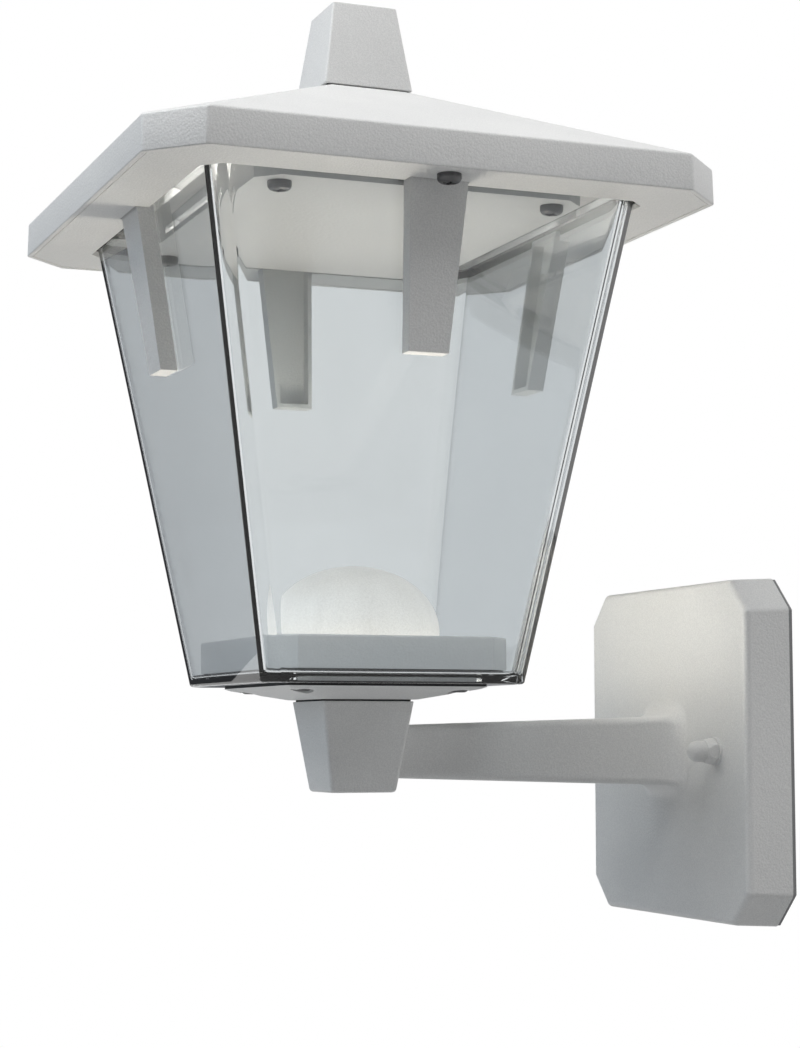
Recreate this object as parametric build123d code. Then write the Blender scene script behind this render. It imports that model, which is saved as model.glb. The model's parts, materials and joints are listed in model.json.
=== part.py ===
from build123d import *
import os
from math import atan, cos, radians, sin, sqrt

# Wall lantern: a tapered glass cup under a square roof, standing on a tapered
# stem at the end of a wall arm, lit by an opal dome in the bottom of the glass.
# Origin at the centre of the wall face, +Z up, +Y into the wall, all in mm.
# The lantern's own pieces are drawn about a vertical axis and moved to it.

# ---- Wall box, arm and wall fixing ----
reach = 141.4                    # wall face to the lantern's axis
box_width = 122.0                # across the flats, at the wall
box_height = 122.0
box_depth = 17.2
box_lean = 0.8                   # each side leans in by this from wall to front
box_chamfer = 11.2
box_wall = 3.0
box_edge_radius = 2.5
wall_gasket_thickness = 1.5
wall_gasket_width = 5.0
wall_gasket_inset = 0.4
arm_end_width = 17.6             # square section where it meets the stem
arm_root_width = 25.2            # square section where it meets the box
arm_edge_radius = 2.4
arm_flare = 6.0                  # fillet between the arm and the box
wire_way_diameter = 10.2
grommet_flange = 2.5             # how far its flange stands past the wire way
grommet_flange_thickness = 1.6
grommet_spigot_length = 6.0
grommet_wall = 1.75
bracket_end = 9.6                # beyond each stud
bracket_height = 22.0
bracket_thickness = 2.0
bracket_end_radius = 4.0
bracket_wire_hole = 13.0
wall_screw_inset = 12.4          # from a stud to the middle of its slot
wall_screw_slot_width = 5.0
wall_screw_slot_length = 13.0
stud_inset = 22.6                # from the box's sides to the studs
stud_diameter = 5.0
stud_grip = 6.5                  # how far a stud stands out of the washer
nut_height = 10.0
nut_across_flats = 8.0
nut_hex_height = 4.0
nut_dome_diameter = 7.5
nut_washer_diameter = 10.0
nut_washer_thickness = 1.0
lock_nut_height = 4.0
terminal_length = 26.0
terminal_depth = 9.0
terminal_clamp_depth = 4.0
terminal_height = 15.0
terminal_drop = 34.0             # its middle below the box's middle
terminal_poles = 3
terminal_post_height = 2.0
earth_screw_rise = 32.0
earth_post_diameter = 9.0
earth_post_height = 4.0

# ---- Stem, base and glass ----
stem_top_rise = 17.5             # the stem's top above the arm's axis
stem_height = 31.5
stem_top_width = 33.8
stem_bottom_width = 24.1
stem_edge_radius = 1.6
stem_core_width = 20.0
stem_core_radius = 2.0
stem_drain_diameter = 4.0
stem_roof = 3.4                  # metal over the stem's hollow
stem_plug_thickness = 2.4
nipple_diameter = 8.0
nipple_bore = 5.6
nipple_nut_flats = 12.0
nipple_nut_height = 3.0
nipple_stick_out = 0.8           # how far a nipple passes its nut
arm_thread_length = 14.0         # from the stem into the arm's end
stem_gasket_thickness = 0.6
stem_gasket_inset = 1.2
pan_inset = 10.8                 # the shallow pan under the glass, inside its edge
pan_bottom_width = 35.4
pan_slope_height = 3.4
pan_edge_inset = 2.1             # where the pan's slope ends, inside its lip
pan_lip_height = 0.8
pan_corner_radius = 1.5
pan_spigot_height = 4.0
pan_spigot_gap = 0.8             # between the spigot and the glass all round
pan_pocket_width = 26.0          # room for the nipple's upper nut
pan_pocket_radius = 3.0
base_screw_inset = 4.5           # from the plinth pocket's walls
base_screw_seat_rise = 1.1       # above the pan's rim
base_screw_thread = 6.0          # thread in the plinth's posts
base_head_diameter = 7.0
base_head_gap = 0.45
lower_gasket_thickness = 0.7
upper_gasket_thickness = 1.6
glass_bottom_width = 94.4
glass_chamfer = 5.5
glass_wall = 3.0
glass_floor = 3.5
glass_opening_inset = 1.0        # the plinth's pocket ends this far inside it
glass_opening_radius = 5.5
glass_flange_rise = 167.1        # underside of the top flange above the bottom
glass_flange_thickness = 3.5
flange_ledge = 4.0               # how far the flange lies on the soffit
flange_chamfer = 8.8
glass_edge_radius = 2.4
plinth_gap = 1.75                # between the plinth and the glass
plinth_height = 11.2
plinth_chamfer = 8.0
plinth_edge_radius = 0.8
plinth_wall = 10.0
plinth_pocket_radius = 6.0
plinth_post_diameter = 9.4
plinth_top_thickness = 4.0
driver_length = 46.0
driver_width = 34.0
driver_height = 6.0
board_diameter = 54.0
board_thickness = 1.6
led_size = 3.0
led_height = 0.8
led_ring_diameters = (20.0, 40.0)
led_ring_counts = (6, 12)
board_screw_circle_diameter = 30.0
board_hole_diameter = 7.0
driver_corner_radius = 2.0
dome_diameter = 60.4
dome_wall = 1.6
dome_skirt = 2.7
dome_rise = 23.2
dome_seat_depth = 1.5

# ---- Roof ----
roof_width = 200.0
roof_overhang = 24.25            # from the glass to the roof's edge, at the soffit
roof_chamfer = 16.5
roof_lip = 0.3                   # the rim hangs this far below the soffit
rim_height = 12.5
rim_lean = 0.3
rim_edge_radius = 1.2
roof_rise = 35.8                 # rim top to the flat under the finial
roof_flat_width = 33.2
roof_wall = 2.0
roof_skin = 2.7                  # vertical thickness of the sloping roof
roof_crown_thickness = 3.0
soffit_thickness = 2.0
opening_gap = 1.9                # between the glass and the soffit's opening
opening_chamfer = 6.0
flange_gasket_thickness = 3.0
flange_seal_thickness = 2.0
seal_rib_width = 3.5
claw_length = 55.1
claw_depth = 6.1
claw_top_width = 20.4
claw_bottom_width = 14.2
claw_wall = 1.6
claw_floor = 1.8
claw_foot_thickness = 1.8
claw_foot_gap = 1.2              # between a claw's foot and the panel's edge
soffit_screw_length = 8.8
tray_end_gap = 6.0               # between the tray and the opening, along the wall
tray_side_gap = 20.0             # the same, towards and away from the wall
tray_chamfer = 7.0
tray_sheet = 1.8
tray_drop = 0.3                  # its face lies this far below the soffit
tray_height = 13.6
tray_screw_inset = 9.5           # from the tray's sides
tray_screw_length = 11.8
tray_slot_height = 2.5
tray_slot_lengths = (10.7, 40.8, 10.7)
tray_slot_gap = 1.3
tray_slot_rise = 0.2             # above the tray's floor
roof_post_diameter = 8.0
finial_margin = 0.1              # the roof's flat shows this much round the finial
finial_top_width = 24.0
finial_height = 31.0
finial_wall = 2.6
finial_edge_radius = 0.5
finial_seal_thickness = 0.6
finial_seal_inset = 1.2
finial_post_diameter = 9.0
finial_screw_grip = 9.0

# ---- Screws ----
screw_diameter = 4.0
screw_head_diameter = 8.0
screw_head_height = 3.0
small_screw_diameter = 3.0
small_head_diameter = 5.5
small_head_height = 2.0
recess_width = 1.0

# ---- Clearances ----
fit_gap = 0.05                   # radial, round a shank or a thread
slide_gap = 0.3                  # between pieces that only lie side by side
hole_gap = 0.25                  # radial, round a screw that passes through
tip_gap = 1.0                    # beyond the end of a screw in its blind hole
bite = 0.4                       # how deep a boss runs into its wall

# ---- Heights that follow ----
box_back = -wall_gasket_thickness
box_front = box_back - box_depth
stem_bottom = stem_top_rise - stem_height
pan_bottom = stem_top_rise + stem_gasket_thickness
pan_top = pan_bottom + pan_slope_height + pan_lip_height
glass_bottom = pan_top + lower_gasket_thickness
glass_inside = glass_bottom + glass_floor
spigot_top = pan_top + pan_spigot_height
plinth_bottom = glass_inside + upper_gasket_thickness
plinth_top = plinth_bottom + plinth_height
flange_bottom = glass_bottom + glass_flange_rise
flange_top = flange_bottom + glass_flange_thickness
soffit_top = flange_bottom - flange_gasket_thickness
soffit_bottom = soffit_top - soffit_thickness
rim_bottom = soffit_bottom - roof_lip
rim_top = rim_bottom + rim_height
roof_top = rim_top + roof_rise
finial_bottom = roof_top + finial_seal_thickness
tray_bottom = soffit_bottom - tray_drop
tray_inside = tray_bottom + tray_sheet

# ---- Widths that follow ----
stud_spacing = box_width - 2 * stud_inset
stud_x = stud_spacing / 2
wall_screw_x = stud_x - wall_screw_inset
bracket_length = stud_spacing + 2 * bracket_end
glass_slope = (roof_width / 2 - roof_overhang - glass_bottom_width / 2) / (soffit_bottom - glass_bottom)
glass_side = glass_wall / cos(atan(glass_slope))
glass_top_width = glass_bottom_width + 2 * glass_slope * (soffit_top - glass_bottom)
glass_floor_width = glass_bottom_width + 2 * glass_slope * glass_floor - 2 * glass_side
plinth_width = glass_floor_width - 2 * plinth_gap
plinth_pocket_width = plinth_width - 2 * plinth_wall
base_screw_x = plinth_pocket_width / 2 - base_screw_inset
base_screw_seat = pan_top + base_screw_seat_rise
glass_opening = plinth_pocket_width + 2 * glass_opening_inset
pan_top_width = glass_bottom_width - 2 * pan_inset
pan_edge_width = pan_top_width - 2 * pan_edge_inset
opening_width = glass_top_width + 2 * opening_gap
flange_width = opening_width + 2 * flange_ledge
panel_width = roof_width - 2 * (roof_wall + slide_gap)
claw_reach = glass_top_width / 2 + slide_gap + claw_depth
soffit_screw_x = (claw_reach + panel_width / 2) / 2
tray_length = opening_width - 2 * tray_end_gap
tray_width = opening_width - 2 * tray_side_gap
tray_screw_x = tray_length / 2 - tray_screw_inset
tray_screw_y = tray_width / 2 - tray_screw_inset
finial_bottom_width = roof_flat_width - 2 * finial_margin
roof_slope = roof_rise / ((roof_width - 2 * rim_lean - roof_flat_width) / 2)


# ---- Shapes that repeat ----
def cut_rectangle(width, depth, chamfer):
    """Rectangle about the origin with its corners cut at 45 degrees."""
    x = width / 2
    y = depth / 2
    return Polygon(
        (x, y - chamfer), (x - chamfer, y), (chamfer - x, y), (-x, y - chamfer),
        (-x, chamfer - y), (chamfer - x, -y), (x - chamfer, -y), (x, chamfer - y), align=None)


def tapered(low, low_width, low_chamfer, high, high_width, high_chamfer):
    """Square block with cut corners whose width changes evenly with height."""
    lower = Pos(0, 0, low) * cut_rectangle(low_width, low_width, low_chamfer)
    upper = Pos(0, 0, high) * cut_rectangle(high_width, high_width, high_chamfer)
    return loft([lower, upper], ruled=True)


def square_taper(low, low_width, high, high_width):
    """Square block with sharp corners whose width changes evenly with height."""
    lower = Pos(0, 0, low) * Rectangle(low_width, low_width)
    upper = Pos(0, 0, high) * Rectangle(high_width, high_width)
    return loft([lower, upper], ruled=True)


def prism(sketch, low, high):
    """The sketch pulled up from one height to another."""
    return extrude(Pos(0, 0, low) * sketch, high - low)


def rod(diameter, low, high, x=0.0, y=0.0):
    """Upright cylinder between two heights."""
    return prism(Pos(x, y) * Circle(diameter / 2), low, high)


def wall_rod(diameter, back, front, x=0.0, z=0.0):
    """Cylinder square to the wall, from one depth out to another."""
    return extrude(Plane.XZ.offset(-back) * Pos(x, z) * Circle(diameter / 2), back - front)


def hexagon(across_flats):
    """Hexagon with corners up and down, from its size across the flats."""
    return Rot(0, 0, 30) * RegularPolygon(across_flats / 2, 6, major_radius=False)


def corners(x, y):
    """The four places at plus and minus x and y."""
    return [(x, y), (-x, y), (-x, -y), (x, -y)]


def polar(radius, turn):
    """Place on a circle, from its radius and its angle in degrees."""
    return radius * cos(radians(turn)), radius * sin(radians(turn))


def group(parts):
    """Separate solids kept together as one piece's worth of like fasteners."""
    return Compound([solid for part in parts for solid in part.solids()])


def pan_screw(length, diameter=screw_diameter, head=screw_head_diameter, height=screw_head_height):
    """Cross-recess screw, head down, with its seat at height 0 and its shank up."""
    cap = rod(head, -height, 0)
    cap = fillet(cap.edges().sort_by(Axis.Z)[0], height * 0.6)
    arm = head * 0.55
    recess = Pos(0, 0, -height) * (Box(arm, recess_width, height) + Box(recess_width, arm, height))
    return cap - recess + rod(diameter, 0, length)


def at_axis(part):
    """Moves a piece drawn about the origin out to the lantern's axis."""
    return Pos(0, -reach, 0) * part


def vertical_edges(part, limit=25.0):
    """Edges that climb, straight or leaning."""
    return [e for e in part.edges() if e.bounding_box().size.Z > e.length * 0.9 and e.length > limit]


# ---- Wall fixing ----
def wall_bracket():
    """Flat bar with two slots for the wall screws and two tapped stud holes."""
    bar = RectangleRounded(bracket_length, bracket_height, bracket_end_radius)
    bar -= Circle(bracket_wire_hole / 2)
    for side in (-1, 1):
        slot = SlotOverall(wall_screw_slot_length, wall_screw_slot_width)
        bar -= Pos(side * wall_screw_x, 0) * slot
        bar -= Pos(side * stud_x, 0) * Circle(stud_diameter / 2 + fit_gap)
    return extrude(Plane.XZ * bar, bracket_thickness)


def stud(side):
    """Threaded stud from the bracket's back out into the cap nut."""
    front = box_front - nut_washer_thickness - stud_grip
    bar = wall_rod(stud_diameter, 0, front, side * stud_x)
    return chamfer(bar.edges().sort_by(Axis.Y)[0], 0.5)


def lock_nut(side):
    """Plain nut that locks a stud against the bracket."""
    body = extrude(Plane.XZ.offset(bracket_thickness) * hexagon(nut_across_flats), lock_nut_height)
    hole = wall_rod(stud_diameter + 2 * fit_gap, 0, box_front)
    return Pos(side * stud_x, 0, 0) * (body - hole)


def nut_washer(side):
    """Flat washer between a cap nut and the box."""
    ring = wall_rod(nut_washer_diameter, box_front, box_front - nut_washer_thickness)
    hole = wall_rod(stud_diameter + 2 * fit_gap, 0, box_front - nut_height)
    return Pos(side * stud_x, 0, 0) * (ring - hole)


def cap_nut(side):
    """Hexagon nut with a domed cap, blind bored for the stud."""
    seat = box_front - nut_washer_thickness
    tip = seat - nut_height
    radius = nut_dome_diameter / 2
    body = extrude(Plane.XZ.offset(-seat) * hexagon(nut_across_flats), nut_hex_height)
    neck = wall_rod(nut_dome_diameter, seat, tip + radius)
    cap = Pos(0, tip + radius, 0) * Sphere(radius)
    corner_cone = Pos(0, seat - nut_hex_height / 2, 0) * Rot(90, 0, 0) * Cone(
        nut_across_flats * 0.62, nut_across_flats * 0.5, nut_hex_height)
    bore = wall_rod(stud_diameter + 2 * fit_gap, seat, seat - stud_grip - slide_gap)
    return Pos(side * stud_x, 0, 0) * ((body & corner_cone) + neck + cap - bore)


def wall_gasket():
    """Foam frame between the box and the wall."""
    width = box_width - 2 * wall_gasket_inset
    height = box_height - 2 * wall_gasket_inset
    inner_cut = box_chamfer - wall_gasket_width * (2 - sqrt(2))
    outer = cut_rectangle(width, height, box_chamfer)
    inner = cut_rectangle(width - 2 * wall_gasket_width, height - 2 * wall_gasket_width, inner_cut)
    return extrude(Plane.XZ * (outer - inner), wall_gasket_thickness)


# ---- Wall box and arm ----
def box_block(shrink, back, front):
    """The box's leaning block, with each side moved in by shrink."""
    cut = box_chamfer - shrink * (2 - sqrt(2))
    faces = []
    for y in (back, front):
        lean = box_lean * (box_back - y) / box_depth
        width = box_width - 2 * (shrink + lean)
        height = box_height - 2 * (shrink + lean)
        faces.append(Plane.XZ.offset(-y) * cut_rectangle(width, height, cut))
    return loft(faces, ruled=True)


def arm_beam(end_width, root_width, radius, start, finish):
    """Tapered square beam along Y."""
    small = Plane.XZ.offset(-start) * RectangleRounded(end_width, end_width, radius)
    large = Plane.XZ.offset(-finish) * RectangleRounded(root_width, root_width, radius)
    return loft([small, large], ruled=True)


def wall_box_arm():
    """Hollow box open to the wall, with the arm cast on its front."""
    casting = box_block(0, box_back, box_front)
    rim = casting.faces().sort_by(Axis.Y)[0].edges()
    sides = [e for e in casting.edges() if e.bounding_box().size.Y > box_depth * 0.9]
    casting = fillet(list(rim) + sides, box_edge_radius)
    casting += arm_beam(arm_end_width, arm_root_width, arm_edge_radius, -reach, box_front + bite)
    near = [e for e in casting.edges()
            if abs(e.center().Y - box_front) < 0.05 and e.bounding_box().max.X < arm_root_width
            and e.bounding_box().min.X > -arm_root_width
            and abs(e.center().Z) < arm_root_width]
    casting = fillet(near, arm_flare)
    casting -= box_block(box_wall, box_back, box_front + box_wall)
    casting -= at_axis(stem_block_outside())
    casting -= wall_rod(wire_way_diameter, 0, -reach + nipple_reach())
    casting -= wall_rod(nipple_diameter + 2 * fit_gap, 0, -reach)
    inner = box_front + box_wall
    casting += wall_rod(earth_post_diameter, inner + earth_post_height, inner - bite, 0, earth_screw_rise)
    casting -= wall_rod(small_screw_diameter + 2 * fit_gap, 0, inner - bite, 0, earth_screw_rise)
    for side in (-1, 1):
        casting -= wall_rod(stud_diameter + 2 * hole_gap, 0, box_front - bite, side * stud_x)
        casting += terminal_post(side)
    return casting


def terminal_post(side):
    """Tapped post that carries one end of the terminal block."""
    inner = box_front + box_wall
    x = side * terminal_screw_x()
    post = wall_rod(small_head_diameter, inner + terminal_post_height, inner - bite, x, -terminal_drop)
    return post - wall_rod(small_screw_diameter + 2 * fit_gap, 0, inner - bite, x, -terminal_drop)


def terminal_screw_x():
    """Half the distance between the terminal block's fixing screws."""
    return terminal_length / 2 - small_head_diameter / 2 - slide_gap


def terminal_block():
    """Insulating block with a wire hole through each pole and a fixing lug at each end."""
    back = box_front + box_wall + terminal_post_height
    body = Plane.XZ.offset(-back - terminal_depth) * Pos(0, -terminal_drop)
    block = extrude(body * Rectangle(terminal_length, terminal_height), terminal_depth)
    pitch = pole_pitch()
    for index in range(terminal_poles):
        x = (index - (terminal_poles - 1) / 2) * pitch
        middle = back + terminal_depth / 2
        block -= Pos(x, middle, -terminal_drop) * Cylinder(pitch * 0.3, terminal_height * 2)
        clamp = back + terminal_depth
        floor = clamp - terminal_clamp_depth
        block -= wall_rod(pole_screw() + 2 * fit_gap, clamp, floor, x, -terminal_drop)
    for side in (-1, 1):
        x = side * terminal_screw_x()
        block -= wall_rod(small_screw_diameter + 2 * fit_gap, 0, back, x, -terminal_drop)
        block -= wall_rod(small_head_diameter + 2 * fit_gap, 0, back + terminal_depth / 2, x, -terminal_drop)
    return block


def pole_pitch():
    """Distance between neighbouring poles of the terminal block."""
    room = 2 * (terminal_screw_x() - small_head_diameter / 2)
    return room / terminal_poles


def pole_screw():
    """Diameter of a terminal's clamp screw."""
    return pole_pitch() * 0.5


def terminal_screws():
    """The clamp screws of the poles, as one group."""
    back = box_front + box_wall + terminal_post_height
    found = []
    for index in range(terminal_poles):
        x = (index - (terminal_poles - 1) / 2) * pole_pitch()
        clamp = back + terminal_depth - slide_gap
        floor = clamp + slide_gap - terminal_clamp_depth
        found.append(wall_rod(pole_screw(), clamp, floor, x, -terminal_drop))
    return group(found)


def small_wall_screw(x, z, seat, length):
    """Small screw driven from the wall side towards the front."""
    turned = Rot(90, 0, 0) * pan_screw(length, small_screw_diameter, small_head_diameter, small_head_height)
    return Pos(x, seat, z) * turned


def terminal_fixings():
    """The two screws that hold the terminal block."""
    seat = box_front + box_wall + terminal_post_height + terminal_depth / 2
    length = seat - (box_front + box_wall)
    return group([
        small_wall_screw(side * terminal_screw_x(), -terminal_drop, seat, length) for side in (-1, 1)])


def earth_screw():
    """Screw on the box's earthing post."""
    seat = box_front + box_wall + earth_post_height
    return small_wall_screw(0, earth_screw_rise, seat, earth_post_height)


def wire_grommet():
    """Rubber bush where the wires pass from the box into the arm."""
    inner = box_front + box_wall
    tip = inner - grommet_spigot_length
    flange = wall_rod(wire_way_diameter + 2 * grommet_flange, inner + grommet_flange_thickness, inner)
    spigot = wall_rod(wire_way_diameter - 2 * fit_gap, inner, tip)
    return flange + spigot - wall_rod(wire_way_diameter - 2 * grommet_wall, 0, tip - bite)


# ---- Stem ----
def stem_block_outside():
    """The stem's outer shape, wider at the top, with its lower edges rounded."""
    block = square_taper(stem_bottom, stem_bottom_width, stem_top_rise, stem_top_width)
    low = block.faces().sort_by(Axis.Z)[0].edges()
    return fillet(list(low) + vertical_edges(block), stem_edge_radius)


def nipple_reach():
    """Depth of the threaded mouth in the arm's end, from the lantern's axis."""
    return stem_top_width / 2 + arm_thread_length


def stem_block():
    """Stem cored from below, with a hole for the arm's nipple and one for the base's."""
    core = prism(RectangleRounded(stem_core_width, stem_core_width, stem_core_radius),
                 stem_bottom - bite, stem_top_rise - stem_roof)
    block = stem_block_outside() - core
    block -= rod(nipple_diameter + 2 * fit_gap, 0, stem_top_rise + bite)
    return block - wall_rod(nipple_diameter + 2 * fit_gap, stem_top_width, 0)


def stem_plug():
    """Plate that closes the stem's hollow from below."""
    width = stem_core_width - 2 * fit_gap
    high = stem_bottom + stem_plug_thickness
    plate = prism(RectangleRounded(width, width, stem_core_radius - fit_gap), stem_bottom, high)
    return plate - rod(stem_drain_diameter, stem_bottom - bite, high + bite)


def hex_ring(low, height):
    """Thin nut on a nipple, lying level."""
    ring = prism(hexagon(nipple_nut_flats), low, low + height)
    return ring - rod(nipple_diameter + 2 * fit_gap, low - bite, low + height + bite)


def arm_nipple():
    """Hollow threaded tube that ties the stem to the arm's end."""
    inner = stem_core_width / 2 - nipple_nut_height - nipple_stick_out
    outer = nipple_reach() - bite
    tube = wall_rod(nipple_diameter, outer, inner) - wall_rod(nipple_bore, outer, inner)
    return tube


def arm_nipple_nut():
    """Nut on the arm's nipple, inside the stem."""
    flat = hex_ring(0, nipple_nut_height)
    return Pos(0, stem_core_width / 2, 0) * Rot(90, 0, 0) * flat


def base_nipple():
    """Hollow threaded tube that ties the stem to the pan above it."""
    low = stem_top_rise - stem_roof - nipple_nut_height - nipple_stick_out
    high = spigot_seat() + nipple_nut_height + nipple_stick_out / 2
    return rod(nipple_diameter, low, high) - rod(nipple_bore, low, high)


def spigot_seat():
    """Height of the nut's seat in the pan's hollow top."""
    return pan_bottom + pan_slope_height


def base_nipple_nuts():
    """The nuts above and below, as one group."""
    lower = hex_ring(stem_top_rise - stem_roof - nipple_nut_height, nipple_nut_height)
    upper = hex_ring(spigot_seat(), nipple_nut_height)
    return group([lower, upper])


def stem_gasket():
    """Thin washer that keeps water out between the stem and the pan."""
    width = pan_bottom_width - 2 * stem_gasket_inset - (pan_bottom_width - stem_top_width)
    sheet = Rectangle(width, width) - Circle(nipple_diameter / 2 + fit_gap)
    return prism(sheet, stem_top_rise, pan_bottom)


# ---- Base pan, glass and plinth ----
def base_pan():
    """Shallow pan under the glass, with a spigot that centres the glass."""
    slope = square_taper(pan_bottom, pan_bottom_width, pan_bottom + pan_slope_height, pan_edge_width)
    lip = square_taper(pan_bottom + pan_slope_height, pan_edge_width, pan_top, pan_top_width)
    pan = slope + lip
    pan = fillet(vertical_edges(pan, 0.1) + slanted_edges(pan), pan_corner_radius)
    pan += prism(opening_sketch(pan_spigot_gap), pan_top - bite, spigot_top)
    pocket = RectangleRounded(pan_pocket_width, pan_pocket_width, pan_pocket_radius)
    pan -= prism(pocket, spigot_seat(), spigot_top + bite)
    pan -= rod(nipple_diameter + 2 * fit_gap, pan_bottom - bite, spigot_top)
    for x, y in corners(base_screw_x, base_screw_x):
        pan -= rod(screw_diameter + 2 * hole_gap, pan_bottom, spigot_top + bite, x, y)
        pan -= rod(base_head_diameter + 2 * base_head_gap, pan_bottom, base_screw_seat, x, y)
    return pan


def opening_sketch(shrink=0.0):
    """The square hole in the glass's floor, with each side moved in by shrink."""
    width = glass_opening - 2 * shrink
    return RectangleRounded(width, width, glass_opening_radius - shrink)


def slanted_edges(part):
    """The edges that run from one corner of a pan's face down to the next."""
    found = []
    for edge in part.edges():
        size = edge.bounding_box().size
        if size.X > 0.5 and size.Y > 0.5:
            found.append(edge)
    return found


def base_screws():
    """Four screws up through the pan into the plinth."""
    length = plinth_bottom + base_screw_thread - tip_gap - base_screw_seat
    screw = Pos(0, 0, base_screw_seat) * pan_screw(length, head=base_head_diameter)
    return group([Pos(x, y, 0) * screw for x, y in corners(base_screw_x, base_screw_x)])


def ring_gasket(low, high, outer, outer_cut):
    """Flat square ring round the glass's opening, between two heights."""
    return prism(cut_rectangle(outer, outer, outer_cut) - opening_sketch(), low, high)


def lower_gasket():
    """Seal between the pan and the glass."""
    return ring_gasket(pan_top, glass_bottom, pan_top_width - 2 * slide_gap, 1.0)


def upper_gasket():
    """Seal between the glass and the plinth."""
    return ring_gasket(glass_inside, plinth_bottom, plinth_width - 2 * plinth_edge_radius, plinth_chamfer)


def glass_width(height):
    """Outer width of the glass at a height."""
    return glass_bottom_width + 2 * glass_slope * (height - glass_bottom)


def glass_cup():
    """Tapered glass cup with a flange at its top and a square hole in its floor."""
    inner_cut = glass_chamfer - glass_side * (2 - sqrt(2))
    cup = tapered(glass_bottom, glass_width(glass_bottom), glass_chamfer,
                  flange_top, glass_width(flange_top), glass_chamfer)
    low = cup.faces().sort_by(Axis.Z)[0].edges()
    cup = fillet(list(low) + vertical_edges(cup), glass_edge_radius)
    cup += prism(cut_rectangle(flange_width, flange_width, flange_chamfer), flange_bottom, flange_top)
    above = flange_top + bite
    hollow = tapered(glass_inside, glass_floor_width, inner_cut,
                     above, glass_width(above) - 2 * glass_side, inner_cut)
    hollow = fillet(list(hollow.faces().sort_by(Axis.Z)[0].edges()), glass_edge_radius / 2)
    cup -= hollow
    return cup - prism(opening_sketch(), glass_bottom, glass_inside)


def plinth():
    """Block inside the glass that carries the lamp board, pocketed from below."""
    block = prism(cut_rectangle(plinth_width, plinth_width, plinth_chamfer), plinth_bottom, plinth_top)
    block = fillet(list(block.faces().sort_by(Axis.Z)[-1].edges()), plinth_edge_radius)
    pocket_top = plinth_top - plinth_top_thickness
    pocket = RectangleRounded(plinth_pocket_width, plinth_pocket_width, plinth_pocket_radius)
    block -= prism(pocket, plinth_bottom, pocket_top)
    tapping = screw_diameter + 2 * fit_gap
    for x, y in corners(base_screw_x, base_screw_x):
        block += rod(plinth_post_diameter, spigot_top, pocket_top + bite, x, y)
        block -= rod(tapping, spigot_top, plinth_bottom + base_screw_thread, x, y)
    block -= rod(wire_way_diameter, pocket_top, plinth_top)
    seat = Circle(dome_diameter / 2 + fit_gap) - Circle(dome_diameter / 2 - dome_wall - fit_gap)
    block -= prism(seat, plinth_top - dome_seat_depth, plinth_top + bite)
    for x, y in board_screw_places():
        block -= rod(small_screw_diameter + 2 * fit_gap, pocket_top, plinth_top, x, y)
    return block


def driver():
    """Potted driver under the plinth's top, with its wire hole."""
    high = plinth_top - plinth_top_thickness
    block = Rectangle(driver_length, driver_width)
    case = extrude(Pos(0, 0, high - driver_height) * block, driver_height)
    case = fillet(case.edges().filter_by(Axis.Z), driver_corner_radius)
    return case - rod(wire_way_diameter, high - driver_height - bite, high + bite)


def board_screw_places():
    """Three places on a circle."""
    return [polar(board_screw_circle_diameter / 2, turn) for turn in (90, 210, 330)]


def led_board():
    """Round metal-core board with a hole for its wires."""
    disc = Circle(board_diameter / 2) - Circle(board_hole_diameter / 2)
    for x, y in board_screw_places():
        disc -= Pos(x, y) * Circle(small_screw_diameter / 2 + hole_gap)
    return prism(disc, plinth_top, plinth_top + board_thickness)


def led_places():
    """Places of the light sources, in two rings."""
    found = []
    for diameter, count in zip(led_ring_diameters, led_ring_counts):
        for index in range(count):
            turn = 360 * (index + 0.5) / count
            found.append((*polar(diameter / 2, turn), turn))
    return found


def led_chips():
    """The light sources, as one group of separate chips."""
    low = plinth_top + board_thickness
    chip = prism(Rectangle(led_size, led_size), low, low + led_height)
    return group([Pos(x, y, 0) * Rot(0, 0, turn) * chip for x, y, turn in led_places()])


def board_screws():
    """Three screws that hold the board down."""
    seat = plinth_top + board_thickness
    length = board_thickness + plinth_top_thickness * 0.8
    screw = Rot(180, 0, 0) * pan_screw(length, small_screw_diameter, small_head_diameter, small_head_height)
    return group([Pos(x, y, seat) * screw for x, y in board_screw_places()])


def dome():
    """Opal dome: a short skirt in the plinth's groove and a flattened cap."""
    foot = plinth_top - dome_seat_depth
    shoulder = plinth_top + dome_skirt
    radius = dome_diameter / 2
    thin = radius - dome_wall
    top = shoulder + dome_rise
    outline = dome_curve(radius, dome_rise, shoulder)
    outline += dome_curve(thin, dome_rise - dome_wall, shoulder)
    outline += Polyline((0, top), (0, top - dome_wall))
    outline += Polyline((thin, shoulder), (thin, foot), (radius, foot), (radius, shoulder))
    return revolve(Plane.XZ * make_face(outline), Axis.Z)


def dome_curve(radius, rise, shoulder):
    """Quarter of an ellipse, from the shoulder up to the axis."""
    turns = [radians(15 * step) for step in range(7)]
    points = [(radius * cos(turn), shoulder + rise * sin(turn)) for turn in turns]
    return Spline(*points, tangents=((0, 1), (-1, 0)))


# ---- Roof ----
def roof_outside():
    """Rim with a low four-sided roof above it, down to the rim's bottom."""
    top_width = roof_width - 2 * rim_lean
    rim = tapered(rim_bottom, roof_width, roof_chamfer, rim_top, top_width, roof_chamfer)
    crown_cut = roof_chamfer * roof_flat_width / top_width
    crown = tapered(rim_top, top_width, roof_chamfer, roof_top, roof_flat_width, crown_cut)
    shape = rim + crown
    brow = [e for e in shape.edges() if abs(e.bounding_box().min.Z - rim_top) < 0.01
            and abs(e.bounding_box().max.Z - rim_top) < 0.01]
    return fillet(brow, rim_edge_radius)


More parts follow.
